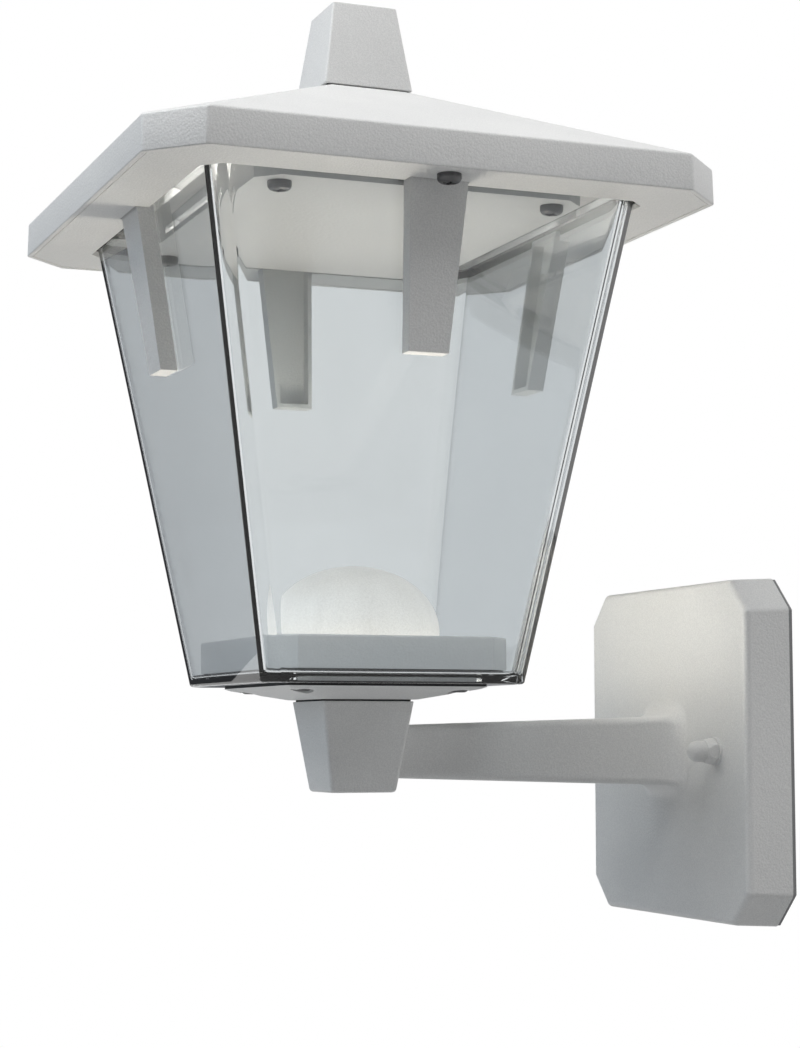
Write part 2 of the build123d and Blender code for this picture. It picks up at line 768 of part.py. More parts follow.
def roof_hollow():
    """The space under the roof."""
    width = roof_width - 2 * roof_wall
    cut = roof_chamfer - roof_wall * (2 - sqrt(2))
    eaves = rim_top - roof_skin
    crown = roof_top - roof_crown_thickness
    crown_width = roof_flat_width + 2 * (roof_crown_thickness - roof_skin) / roof_slope
    low = tapered(rim_bottom, width, cut, eaves, width, cut)
    high = tapered(eaves, width, cut, crown, crown_width, cut * crown_width / width)
    return low + high


def roof_shell():
    """Hollow roof with posts for its screws and a rib over the glass."""
    outside = roof_outside()
    inside = prism(flange_ring(), flange_top + flange_seal_thickness, roof_top)
    for x, y in corners(tray_screw_x, tray_screw_y):
        inside += rod(roof_post_diameter, tray_inside, roof_top, x, y)
    for x, y in side_places(soffit_screw_x):
        inside += rod(roof_post_diameter, soffit_top + claw_foot_thickness, roof_top, x, y)
    shell = (outside - roof_hollow()) + (outside & inside)
    tapping = screw_diameter + 2 * fit_gap
    for x, y in corners(tray_screw_x, tray_screw_y):
        shell -= rod(tapping, tray_inside, tray_bottom + tray_screw_length + tip_gap, x, y)
    for x, y in side_places(soffit_screw_x)[:2]:
        shell -= rod(tapping, soffit_top, soffit_bottom + soffit_screw_length + tip_gap, x, y)
    crown = roof_top - roof_crown_thickness
    return shell - rod(small_screw_diameter + 2 * hole_gap, crown - bite, roof_top + bite)


def side_places(place):
    """The middles of the four sides: right, left, rear, front."""
    return [(place, 0), (-place, 0), (0, place), (0, -place)]


def flange_ring():
    """Narrow square ring over the edge of the glass's flange."""
    inner = flange_width - 2 * seal_rib_width
    inner_cut = flange_chamfer - seal_rib_width * (2 - sqrt(2))
    return cut_rectangle(flange_width, flange_width, flange_chamfer) - cut_rectangle(inner, inner, inner_cut)


def soffit_panel():
    """Flat panel that closes the roof, notched where the claws pass through."""
    cut = roof_chamfer - (roof_wall + slide_gap) * (2 - sqrt(2))
    sheet = cut_rectangle(panel_width, panel_width, cut)
    sheet -= cut_rectangle(opening_width, opening_width, opening_chamfer)
    notch = 2 * (claw_reach + slide_gap)
    across = claw_top_width + 2 * slide_gap
    sheet -= Rectangle(notch, across)
    sheet -= Rectangle(across, notch)
    for x, y in side_places(soffit_screw_x)[:2]:
        sheet -= Pos(x, y) * Circle(screw_diameter / 2 + hole_gap)
    return prism(sheet, soffit_bottom, soffit_top)


def claw():
    """Tapered channel that steadies the glass, open towards it, on the +X side."""
    low = soffit_top - claw_length - soffit_thickness
    body = claw_wedge(low, soffit_top + claw_foot_thickness, slide_gap, slide_gap + claw_depth, 0)
    start = claw_reach - claw_wall
    end = panel_width / 2 - claw_foot_gap
    foot = Pos((start + end) / 2, 0) * Rectangle(end - start, claw_top_width)
    body += prism(foot, soffit_top, soffit_top + claw_foot_thickness)
    hollow_far = slide_gap + claw_depth - claw_wall
    body -= claw_wedge(low + claw_floor, soffit_top, -claw_depth, hollow_far, claw_wall)
    return body - rod(screw_diameter + 2 * hole_gap, soffit_bottom, flange_top, soffit_screw_x, 0)


def claw_wedge(low, high, near, far, shrink):
    """Leaning wedge between two distances off the glass, narrower at its foot."""
    faces = []
    for z in (low, high):
        share = (soffit_bottom - z) / claw_length
        width = claw_top_width + (claw_bottom_width - claw_top_width) * share - 2 * shrink
        middle = glass_width(z) / 2 + (near + far) / 2
        faces.append(Pos(middle, 0, z) * Rectangle(far - near, width))
    return loft(faces, ruled=True)


def soffit_screws():
    """The two screws outside the right and left claws, as one group."""
    screw = pan_screw(soffit_screw_length)
    return group([
        Pos(x, y, soffit_bottom) * screw for x, y in side_places(soffit_screw_x)[:2]])


def flange_gasket():
    """Foam ring on the soffit panel that carries the glass's flange."""
    width = opening_width + 2 * slide_gap
    ring = cut_rectangle(flange_width, flange_width, flange_chamfer)
    ring -= cut_rectangle(width, width, opening_chamfer)
    gasket = prism(ring, soffit_top, flange_bottom)
    across = claw_top_width + 2 * slide_gap
    bridge = soffit_top + claw_foot_thickness + slide_gap
    gasket -= prism(Rectangle(roof_width, across) + Rectangle(across, roof_width), soffit_top, bridge)
    return gasket


def flange_seal():
    """Ring between the glass's flange and the roof's rib."""
    return prism(flange_ring(), flange_top, flange_top + flange_seal_thickness)


def tray():
    """Shallow box, open upwards, that closes the roof inside the glass."""
    inner_cut = tray_chamfer - tray_sheet * (2 - sqrt(2))
    outer = cut_rectangle(tray_length, tray_width, tray_chamfer)
    inner = cut_rectangle(tray_length - 2 * tray_sheet, tray_width - 2 * tray_sheet, inner_cut)
    body = prism(outer, tray_bottom, tray_bottom + tray_height) - prism(
        inner, tray_inside, tray_bottom + tray_height)
    start = -(sum(tray_slot_lengths) + tray_slot_gap * (len(tray_slot_lengths) - 1)) / 2
    low = tray_inside + tray_slot_rise
    for length in tray_slot_lengths:
        slot = Pos(start + length / 2, 0) * Rectangle(length, tray_width * 1.1)
        body -= prism(slot, low, low + tray_slot_height)
        start += length + tray_slot_gap
    for x, y in corners(tray_screw_x, tray_screw_y):
        body -= rod(screw_diameter + 2 * hole_gap, tray_bottom - bite, tray_inside + bite, x, y)
    return body


def tray_screws():
    """The four screws at the tray's corners, as one group."""
    screw = pan_screw(tray_screw_length)
    return group([
        Pos(x, y, tray_bottom) * screw for x, y in corners(tray_screw_x, tray_screw_y)])


def finial():
    """Hollow tapered cap with a tapped post inside."""
    high = finial_bottom + finial_height
    block = square_taper(finial_bottom, finial_bottom_width, high, finial_top_width)
    crown = list(block.faces().sort_by(Axis.Z)[-1].edges())
    block = fillet(crown + vertical_edges(block), finial_edge_radius)
    hollow = square_taper(finial_bottom, finial_bottom_width - 2 * finial_wall,
                          high - finial_wall, finial_top_width - 2 * finial_wall)
    block -= hollow
    block += rod(finial_post_diameter, finial_bottom, high - finial_wall + bite)
    tip = finial_bottom + finial_screw_grip + tip_gap
    return block - rod(small_screw_diameter + 2 * fit_gap, finial_bottom, tip)


def finial_seal():
    """Thin seal between the roof and the finial."""
    width = finial_bottom_width - 2 * finial_seal_inset
    sheet = Rectangle(width, width) - Circle(small_screw_diameter / 2 + hole_gap)
    return prism(sheet, roof_top, finial_bottom)


def finial_screw():
    """Screw from inside the roof up into the finial."""
    seat = roof_top - roof_crown_thickness
    length = finial_bottom + finial_screw_grip - seat
    screw = pan_screw(length, small_screw_diameter, small_head_diameter, small_head_height)
    return Pos(0, 0, seat) * screw


# ---- The assembly ----
def pieces():
    """Every piece by its node's name, where it stands."""
    found = {
        "wall_bracket": wall_bracket(),
        "bracket_studs": group([stud(-1), stud(1)]),
        "stud_lock_nuts": group([lock_nut(-1), lock_nut(1)]),
        "wall_gasket": wall_gasket(),
        "wall_box_arm": wall_box_arm(),
        "nut_washer_left": nut_washer(-1),
        "nut_washer_right": nut_washer(1),
        "cap_nut_left": cap_nut(-1),
        "cap_nut_right": cap_nut(1),
        "terminal_block": terminal_block(),
        "terminal_screws": terminal_screws(),
        "terminal_fixings": terminal_fixings(),
        "earth_screw": earth_screw(),
        "wire_grommet": wire_grommet(),
    }
    lantern = {
        "stem_block": stem_block(),
        "stem_plug": stem_plug(),
        "arm_nipple": arm_nipple(),
        "arm_nipple_nut": arm_nipple_nut(),
        "base_nipple": base_nipple(),
        "base_nipple_nuts": base_nipple_nuts(),
        "stem_gasket": stem_gasket(),
        "base_pan": base_pan(),
        "base_screws": base_screws(),
        "lower_gasket": lower_gasket(),
        "glass_cup": glass_cup(),
        "upper_gasket": upper_gasket(),
        "plinth": plinth(),
        "driver": driver(),
        "led_board": led_board(),
        "led_chips": led_chips(),
        "board_screws": board_screws(),
        "dome": dome(),
        "roof_shell": roof_shell(),
        "soffit_panel": soffit_panel(),
        "soffit_screws": soffit_screws(),
        "flange_gasket": flange_gasket(),
        "flange_seal": flange_seal(),
        "tray": tray(),
        "tray_screws": tray_screws(),
        "finial": finial(),
        "finial_seal": finial_seal(),
        "finial_screw": finial_screw(),
    }
    for name, turn in (("right", 0), ("rear", 90), ("left", 180), ("front", 270)):
        lantern["claw_" + name] = Rot(0, 0, turn) * claw()
    for name, part in lantern.items():
        found[name] = at_axis(part)
    return found


def main():
    """Writes one STEP file for each piece."""
    os.makedirs("parts", exist_ok=True)
    for name, part in pieces().items():
        export_step(part, "parts/" + name + ".step")


main()
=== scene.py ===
"""Looks of the wall lantern: its finer moulded forms, its finishes, camera and light."""

import json
import logging
from dataclasses import dataclass, field
from enum import Enum
from typing import Any, Sequence

import bpy
import numpy as np
from mathutils import Matrix

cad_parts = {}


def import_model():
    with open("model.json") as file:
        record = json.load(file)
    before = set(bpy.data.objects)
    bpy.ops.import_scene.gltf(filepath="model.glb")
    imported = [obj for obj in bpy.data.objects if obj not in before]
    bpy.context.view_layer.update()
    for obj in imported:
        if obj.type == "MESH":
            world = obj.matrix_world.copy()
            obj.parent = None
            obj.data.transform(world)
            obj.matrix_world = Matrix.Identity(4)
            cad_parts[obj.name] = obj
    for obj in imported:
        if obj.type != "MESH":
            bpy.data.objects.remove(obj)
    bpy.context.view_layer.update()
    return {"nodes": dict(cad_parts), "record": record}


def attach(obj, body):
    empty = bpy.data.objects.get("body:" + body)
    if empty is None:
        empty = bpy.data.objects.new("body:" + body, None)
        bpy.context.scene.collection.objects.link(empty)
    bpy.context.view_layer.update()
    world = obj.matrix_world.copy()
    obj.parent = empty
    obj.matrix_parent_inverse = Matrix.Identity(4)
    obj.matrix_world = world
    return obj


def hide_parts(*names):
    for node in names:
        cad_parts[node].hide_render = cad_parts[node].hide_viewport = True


MM = 0.001
AXIS_Y = -141.4  # the lantern's upright axis, in mm, in front of the wall face
CUT_SHRINK = 0.586  # how much shorter a 45 degree cut is inside a wall, per mm of wall: 2 - sqrt(2)
Colour = tuple[float, float, float]
Array = np.ndarray
log = logging.getLogger("lantern")


# ---- Surfaces ----
class Ends(Enum):
    """How the first and last row of a surface are finished."""

    LOOP = "the last row joins the first"
    CAPPED = "each end is one flat face"
    POLES = "each end row is a single point"


@dataclass(frozen=True)
class Shell:
    """A closed surface over a grid of points.

    The columns run anticlockwise round the axis, and the rows climb on the outside.
    """

    points: Array
    ends: Ends = Ends.CAPPED

    def vertices(self) -> Array:
        """Points of the grid as one list; a pole row is kept once."""
        if self.ends is Ends.POLES:
            body = self.points[1:-1].reshape(-1, 3)
            return np.concatenate([body, self.points[0, :1], self.points[-1, :1]])
        return self.points.reshape(-1, 3)

    def faces(self) -> list[Array]:
        """Faces as lists of vertex numbers.

        The quad at row i, column j is (i, j), (i, j+1), (i+1, j+1), (i+1, j).

        Returns:
            Arrays of quads, triangles or single large faces.
        """
        rows, columns = self.points.shape[:2]
        if self.ends is Ends.POLES:
            rows -= 2
        index = np.arange(rows * columns).reshape(rows, columns)
        low = index if self.ends is Ends.LOOP else index[:-1]
        high = np.roll(index, -1, axis=0) if self.ends is Ends.LOOP else index[1:]
        quads = np.stack([low, np.roll(low, -1, axis=1), np.roll(high, -1, axis=1), high], axis=-1)
        found = [quads.reshape(-1, 4)]
        first, last = index[0], index[-1]
        if self.ends is Ends.CAPPED:
            found += [first[None, ::-1], last[None, :]]
        elif self.ends is Ends.POLES:
            tip = np.full(columns, rows * columns)
            found.append(np.stack([tip, np.roll(first, -1), first], axis=-1))
            found.append(np.stack([tip + 1, last, np.roll(last, -1)], axis=-1))
        return found


def rounded(corners: Array, radius: Array, steps: int) -> Array:
    """Rounds every corner of one or more closed outlines with an arc.

    An arc starts radius * tan(turn / 2) before its corner, and its point k lies at
    the turn's k-th share round a centre that is one radius to the left of the side.

    Args:
        corners: Corner points, (rows, corners, 2).
        radius: Arc radius for each row or each corner, (rows, 1) or (rows, corners).
        steps: Number of chords in each arc.

    Returns:
        Points of the rounded outlines, (rows, corners * (steps + 1), 2).
    """
    before = corners - np.roll(corners, 1, axis=1)
    before /= np.linalg.norm(before, axis=-1, keepdims=True)
    after = np.roll(before, -1, axis=1)
    cross = before[..., 0] * after[..., 1] - before[..., 1] * after[..., 0]
    turn = np.arctan2(cross, (before * after).sum(-1))
    side = np.where(turn < 0, -1.0, 1.0)
    left = np.stack([-before[..., 1], before[..., 0]], axis=-1) * side[..., None]
    start = corners - before * (radius * np.tan(np.abs(turn) / 2))[..., None]
    centre = start + left * np.broadcast_to(radius, turn.shape)[..., None]
    first = np.arctan2(-left[..., 1], -left[..., 0])
    angle = first[..., None] + turn[..., None] * np.linspace(0, 1, steps + 1)
    spoke = np.stack([np.cos(angle), np.sin(angle)], axis=-1)
    arcs = centre[..., None, :] + spoke * np.broadcast_to(radius, turn.shape)[..., None, None]
    return arcs.reshape(corners.shape[0], -1, 2)


def cut_square(half: Array, cut: Array) -> Array:
    """Corners of squares about the origin, anticlockwise, each corner cut at 45 degrees.

    Args:
        half: Half widths, (rows,).
        cut: Lengths cut off each side at a corner, (rows,).

    Returns:
        Corner points, (rows, 8, 2).
    """
    short = half - cut
    x = np.stack([half, half, short, -short, -half, -half, -short, short], axis=-1)
    y = np.stack([-short, short, half, half, short, -short, -half, -half], axis=-1)
    return np.stack([x, y], axis=-1)


def plain_square(half: Array) -> Array:
    """Corners of squares about the origin, anticlockwise, (rows, 4, 2)."""
    x = np.stack([half, half, -half, -half], axis=-1)
    y = np.stack([-half, half, half, -half], axis=-1)
    return np.stack([x, y], axis=-1)


@dataclass(frozen=True)
class Station:
    """A corner of a square block's profile, in mm.

    Attributes:
        half: Half the width of the block there.
        height: Height there.
        cut: How much of each side the 45 degree corner takes.
        bend: Radius that rounds the profile at this corner.
        edge: Radius that rounds the upright edges.
    """

    half: float
    height: float
    cut: float = 0.0
    bend: float = 0.3
    edge: float = 1.0


def block_shell(stations: Sequence[Station], ends: Ends, steps: int = 4) -> Shell:
    """Carries a profile round the lantern's axis on a square outline.

    The profile is rounded in the plane of half width and height, and each of its
    points becomes one outline of that half width at that height.

    Args:
        stations: Corners of the profile; on an open one the ends stay sharp.
        ends: Whether the profile closes on itself or ends in flat faces.
        steps: Chords in each arc.

    Returns:
        The shell, in metres.
    """
    table = np.array([[s.half, s.height, s.cut, s.bend, s.edge] for s in stations])
    bend = table[None, :, 3].copy()
    if ends is Ends.CAPPED:
        bend[0, 0] = bend[0, -1] = 1e-4
    profile = rounded(table[None, :, :2], bend, steps)[0]
    half, height = profile[:, 0], profile[:, 1]
    cut, edge = (np.repeat(table[:, column], steps + 1) for column in (2, 4))
    if ends is Ends.CAPPED:
        keep = slice(steps, -steps)
        half, height, cut, edge = half[keep], height[keep], cut[keep], edge[keep]
    corners = cut_square(half, cut) if table[:, 2].any() else plain_square(half)
    outline = rounded(corners, edge[:, None], steps + 2)
    tall = np.broadcast_to(height[:, None, None], outline.shape[:2] + (1,))
    return Shell((np.concatenate([outline, tall], axis=-1) + (0, AXIS_Y, 0)) * MM, ends)


def turned_shell(profile: Array, columns: int, centre: tuple[float, float], ends: Ends) -> Shell:
    """Turns a profile of radius and height round an upright axis.

    A point at radius r, height h and angle a lies at (r cos a, r sin a, h).

    Args:
        profile: Radii and heights in mm, (rows, 2).
        columns: Points in each circle.
        centre: Place of the axis in mm.
        ends: How the ends are finished.

    Returns:
        The shell, in metres.
    """
    angle = np.linspace(0, 2 * np.pi, columns, endpoint=False)
    circle = np.stack([np.cos(angle), np.sin(angle)], axis=-1)
    flat = profile[:, None, :1] * circle[None] + np.array(centre)
    tall = np.broadcast_to(profile[:, None, 1:], flat.shape[:2] + (1,))
    return Shell(np.concatenate([flat, tall], axis=-1) * MM, ends)


def make_mesh(name: str, shells: Sequence[Shell], sharp: float = 35.0) -> bpy.types.Mesh:
    """Puts closed shells into one mesh.

    Args:
        name: Name of the mesh.
        shells: The shells.
        sharp: Edges that turn by more than this many degrees stay sharp.

    Returns:
        The mesh, shaded smooth up to that angle.
    """
    points, loops, sizes, first = [], [], [], 0
    for shell in shells:
        points.append(shell.vertices())
        for group in shell.faces():
            loops.append(group.reshape(-1) + first)
            sizes.append(np.full(len(group), group.shape[1]))
        first += len(points[-1])
    corner = np.concatenate(loops).astype(np.int32)
    size = np.concatenate(sizes).astype(np.int32)
    mesh = bpy.data.meshes.new(name)
    mesh.vertices.add(first)
    mesh.vertices.foreach_set("co", np.concatenate(points).astype(np.float32).ravel())
    mesh.loops.add(len(corner))
    mesh.loops.foreach_set("vertex_index", corner)
    mesh.polygons.add(len(size))
    mesh.polygons.foreach_set("loop_start", (np.cumsum(size) - size).astype(np.int32))
    mesh.polygons.foreach_set("use_smooth", np.ones(len(size), bool))
    mesh.update(calc_edges=True)
    mesh.validate()
    mesh.set_sharp_from_angle(angle=np.radians(sharp))
    return mesh


# ---- Shader tools ----
class Network:
    """A node tree being filled, for a material or for a shared effect."""

    def __init__(self, tree: bpy.types.NodeTree) -> None:
        """Starts on an emptied tree.

        Args:
            tree: The node tree to fill.
        """
        tree.nodes.clear()
        self.tree = tree

    def node(self, kind: str, inputs: dict[Any, Any] | None = None, **settings: Any) -> bpy.types.Node:
        """Adds a node.

        Args:
            kind: Blender's name for the node type.
            inputs: Value, or socket to link from, for each input by name or number.
            settings: Attributes of the node.

        Returns:
            The node.
        """
        made = self.tree.nodes.new(kind)
        for key, value in settings.items():
            setattr(made, key, value)
        for key, value in (inputs or {}).items():
            if isinstance(value, bpy.types.NodeSocket):
                self.tree.links.new(value, made.inputs[key])
            else:
                made.inputs[key].default_value = value
        return made

    def maths(self, operation: str, *values: Any) -> bpy.types.NodeSocket:
        """Result of a Math node on numbers or sockets."""
        return self.node("ShaderNodeMath", dict(enumerate(values)), operation=operation).outputs[0]

    def ramp(self, value: bpy.types.NodeSocket, low: float, high: float) -> bpy.types.NodeSocket:
        """Value taken smoothly from 0 at low to 1 at high."""
        given = {"Value": value, "From Min": low, "From Max": high}
        return self.node("ShaderNodeMapRange", given, interpolation_type="SMOOTHSTEP").outputs["Result"]

    def blend(self, share: Any, first: Any, second: Any, kind: str = "MIX") -> bpy.types.NodeSocket:
        """Colour between two others, by a share from 0 to 1."""
        made = self.node("ShaderNodeMix", data_type="RGBA", blend_type=kind)
        for socket, value in zip([made.inputs[0], made.inputs[6], made.inputs[7]], (share, first, second)):
            if isinstance(value, bpy.types.NodeSocket):
                self.tree.links.new(value, socket)
            else:
                socket.default_value = value if socket.type == "VALUE" else (*value, 1)
        return made.outputs[2]


class Effect(Enum):
    """Shared effects, each a node group that is built once."""

    COAT_GRAIN = "coat_grain"
    MOULDED_SKIN = "moulded_skin"
    WORKED_METAL = "worked_metal"

    def group(self) -> bpy.types.NodeTree:
        """The effect's node group, built on first use."""
        if self.value not in bpy.data.node_groups:
            tree = bpy.data.node_groups.new(self.value, "ShaderNodeTree")
            for name, kind in EFFECT_INPUTS:
                tree.interface.new_socket(name=name, in_out="INPUT", socket_type=kind)
            for name, kind in EFFECT_OUTPUTS:
                tree.interface.new_socket(name=name, in_out="OUTPUT", socket_type=kind)
            network = Network(tree)
            given = network.node("NodeGroupInput").outputs
            place = network.node("ShaderNodeTexCoord").outputs["Object"]
            builders = {
                Effect.COAT_GRAIN: coat_grain,
                Effect.MOULDED_SKIN: moulded_skin,
                Effect.WORKED_METAL: worked_metal,
            }
            results = builders[self](network, given, place)
            network.node("NodeGroupOutput", dict(zip(("Color", "Roughness", "Height"), results)))
        return bpy.data.node_groups[self.value]


EFFECT_INPUTS = (
    ("Color", "NodeSocketColor"),
    ("Roughness", "NodeSocketFloat"),
    ("Grain", "NodeSocketFloat"),
    ("Contrast", "NodeSocketFloat"),
    ("Variation", "NodeSocketFloat"),
)
EFFECT_OUTPUTS = (
    ("Color", "NodeSocketColor"),
    ("Roughness", "NodeSocketFloat"),
    ("Height", "NodeSocketFloat"),
)


def uneven(network: Network, pattern: Any, given: Any) -> bpy.types.NodeSocket:
    """Roughness plus the variation times the pattern's distance from a half."""
    return network.maths("MULTIPLY_ADD", network.maths("SUBTRACT", pattern, 0.5), given["Variation"],
                         given["Roughness"])


def coat_grain(network: Network, given: Any, place: Any) -> tuple[Any, Any, Any]:
    """Powder coat: orange-peel cells, a fine speckle and broad cloudy tone.

    Height is cell distance plus half of the speckle; the colour is darkened in the
    hollows by the contrast and in the clouds by a third of it.

    Args:
        network: The group being filled.
        given: The group's input sockets.
        place: Object coordinates in metres.

    Returns:
        Sockets for colour, roughness and height.
    """
    density = network.maths("DIVIDE", 1.0, given["Grain"])
    cells = network.node(
        "ShaderNodeTexVoronoi", {"Vector": place, "Scale": density, "Smoothness": 0.8, "Randomness": 1.0},
        feature="SMOOTH_F1").outputs["Distance"]
    speckle = network.node(
        "ShaderNodeTexNoise", {"Vector": place, "Scale": network.maths("MULTIPLY", density, 1.7),
                               "Detail": 3.0, "Roughness": 0.6}).outputs["Fac"]
    clouds = network.node(
        "ShaderNodeTexNoise", {"Vector": place, "Scale": 22.0, "Detail": 2.0}).outputs["Fac"]
    height = network.maths("MULTIPLY_ADD", speckle, 0.5, cells)
    hollow = network.maths("MULTIPLY", network.ramp(speckle, 0.66, 0.36), given["Contrast"])
    cloud = network.maths("MULTIPLY", network.ramp(clouds, 0.7, 0.3), given["Contrast"])
    tone = network.maths("ADD", hollow, network.maths("MULTIPLY", cloud, 0.35))
    colour = network.blend(tone, given["Color"], (0.25, 0.26, 0.28))
    rough = uneven(network, speckle, given)
    return colour, rough, height


def moulded_skin(network: Network, given: Any, place: Any) -> tuple[Any, Any, Any]:
    """Moulded plastic, rubber or foam: fine pores and slow flow marks.

    Height is the pore noise; the colour moves towards a darker tone in the pores
    and along flow marks that are stretched upwards.

    Args:
        network: The group being filled.
        given: The group's input sockets.
        place: Object coordinates in metres.

    Returns:
        Sockets for colour, roughness and height.
    """
    density = network.maths("DIVIDE", 1.0, given["Grain"])
    pores = network.node(
        "ShaderNodeTexNoise", {"Vector": place, "Scale": density, "Detail": 4.0,
                               "Roughness": 0.65}).outputs["Fac"]
    drawn = network.node("ShaderNodeMapping", {"Vector": place, "Scale": (1.0, 1.0, 0.35)}).outputs[0]
    flow = network.node(
        "ShaderNodeTexNoise", {"Vector": drawn, "Scale": 60.0, "Detail": 2.0,
                               "Distortion": 0.6}).outputs["Fac"]
    dark = network.maths("MULTIPLY", network.ramp(pores, 0.62, 0.35), given["Contrast"])
    drift = network.maths("MULTIPLY", network.ramp(flow, 0.7, 0.35), given["Contrast"])
    tone = network.maths("ADD", network.maths("MULTIPLY", dark, 0.6), network.maths("MULTIPLY", drift, 0.4))
    colour = network.blend(tone, given["Color"], (0.5, 0.5, 0.5), "MULTIPLY")
    rough = uneven(network, flow, given)
    return colour, rough, pores


def worked_metal(network: Network, given: Any, place: Any) -> tuple[Any, Any, Any]:
    """Machined and plated steel or brass: fine tool marks with patchy plating.

    Height is noise drawn out forty times along X and Z; the colour moves towards a
    darker tone where the plating is thin.

    Args:
        network: The group being filled.
        given: The group's input sockets.
        place: Object coordinates in metres.

    Returns:
        Sockets for colour, roughness and height.
    """
    density = network.maths("DIVIDE", 1.0, given["Grain"])
    drawn = network.node("ShaderNodeMapping", {"Vector": place, "Scale": (0.3, 1.0, 0.3)}).outputs[0]
    marks = network.node(
        "ShaderNodeTexNoise", {"Vector": drawn, "Scale": density, "Detail": 3.0,
                               "Roughness": 0.7}).outputs["Fac"]
    plating = network.node(
        "ShaderNodeTexNoise", {"Vector": place, "Scale": 420.0, "Detail": 3.0}).outputs["Fac"]
    thin = network.maths("MULTIPLY", network.ramp(plating, 0.62, 0.4), given["Contrast"])
    colour = network.blend(thin, given["Color"], (0.45, 0.45, 0.48), "MULTIPLY")
    rough = uneven(network, plating, given)
    return colour, rough, marks


# ---- Finishes ----
@dataclass(frozen=True)
class Finish:
    """A surface finish built from one shared effect.

    Attributes:
        name: Name of the material.
        colour: Main colour, linear.
        roughness: Mean roughness.
        effect: The shared effect that varies the surface.
        grain: Size of the grain in metres.
        contrast: How far the tone varies, 0 to 1.
        relief: Depth of the grain's bumps in metres.
        metal: Whether the surface is bare metal.
        variation: How far the roughness varies.
        shader: Plain numbers for other sockets of the shader.
    """

    name: str
    colour: Colour
    roughness: float
    effect: Effect
    grain: float
    contrast: float
    relief: float
    metal: bool = False
    variation: float = 0.25
    shader: tuple[tuple[str, Any], ...] = ()

    def material(self) -> bpy.types.Material:
        """The finish as a material, made on first use."""
        if self.name in bpy.data.materials:
            return bpy.data.materials[self.name]
        made = bpy.data.materials.new(self.name)
        made.use_nodes = True
        network = Network(made.node_tree)
        effect = network.node("ShaderNodeGroup", node_tree=self.effect.group())
        effect.inputs["Color"].default_value = (*self.colour, 1)
        effect.inputs["Roughness"].default_value = self.roughness
        effect.inputs["Grain"].default_value = self.grain
        effect.inputs["Contrast"].default_value = self.contrast
        effect.inputs["Variation"].default_value = self.variation
        bump = network.node("ShaderNodeBump", {"Height": effect.outputs["Height"], "Strength": 1.0,
                                               "Distance": self.relief})
        shader = network.node("ShaderNodeBsdfPrincipled", {
            "Base Color": effect.outputs["Color"], "Roughness": effect.outputs["Roughness"],
            "Normal": bump.outputs[0], "Metallic": 1.0 if self.metal else 0.0, **dict(self.shader)})
        self.tint_surface(network, shader, effect.outputs["Color"])
        self.finish_surface(network, shader.outputs[0])
        return made

    def tint_surface(self, network: Network, shader: bpy.types.Node, colour: bpy.types.NodeSocket) -> None:
        """Changes the shader's colour where a finish needs it.

        Args:
            network: The material's nodes.
            shader: The shader.
            colour: The effect's colour.
        """

    def finish_surface(self, network: Network, surface: bpy.types.NodeSocket) -> None:
        """Puts the shader on the surface; finishes that let light through add to it here.

        Args:
            network: The material's nodes.
            surface: The shader's output.
        """
        network.node("ShaderNodeOutputMaterial", {"Surface": surface})


@dataclass(frozen=True)
class ClearFinish(Finish):
    """Clear glass that lets the lamps' light through.

    Attributes:
        deep: Tone that it has where it is seen along its walls.
        passes: Share of the lamps' light that it lets through.
    """

    deep: Colour = (0.44, 0.475, 0.505)
    passes: Colour = (0.93, 0.95, 0.96)

    def tint_surface(self, network: Network, shader: bpy.types.Node, colour: bpy.types.NodeSocket) -> None:
        """Mixes in the deep tone by how far the surface turns away.

        Args:
            network: The material's nodes.
            shader: The shader.
            colour: The effect's colour.
        """
        away = network.node("ShaderNodeLayerWeight", {"Blend": 0.5}).outputs["Facing"]
        network.tree.links.new(network.blend(away, colour, self.deep), shader.inputs["Base Color"])

    def finish_surface(self, network: Network, surface: bpy.types.NodeSocket) -> None:
        """Adds a clear shader for rays that look for a lamp.

        Args:
            network: The material's nodes.
            surface: The shader's output.
        """
        path = network.node("ShaderNodeLightPath").outputs["Is Shadow Ray"]
        clear = network.node("ShaderNodeBsdfTransparent", {"Color": (*self.passes, 1)}).outputs[0]
        both = network.node("ShaderNodeMixShader", {0: path, 1: surface, 2: clear}).outputs[0]
        network.node("ShaderNodeOutputMaterial", {"Surface": both})


def plated(name: str, colour: Colour, roughness: float, contrast: float = 0.5) -> Finish:
    """A bare metal finish with fine tool marks."""
    return Finish(name, colour, roughness, Effect.WORKED_METAL, 0.0006, contrast, 0.00003, metal=True)


def moulded(name: str, colour: Colour, roughness: float, grain: float = 0.0005,
            relief: float = 0.00003, **shader: Any) -> Finish:
    """A moulded plastic, rubber or foam finish.

    Args:
        name: Name of the material.
        colour: Main colour.
        roughness: Mean roughness.
        grain: Size of its pores in metres.
        relief: Depth of its pores in metres.
        shader: Plain numbers for other sockets, with underscores for spaces.

    Returns:
        The finish.
    """
    sockets = tuple((key.replace("_", " "), value) for key, value in shader.items())
    return Finish(name, colour, roughness, Effect.MOULDED_SKIN, grain, 0.35, relief, shader=sockets)


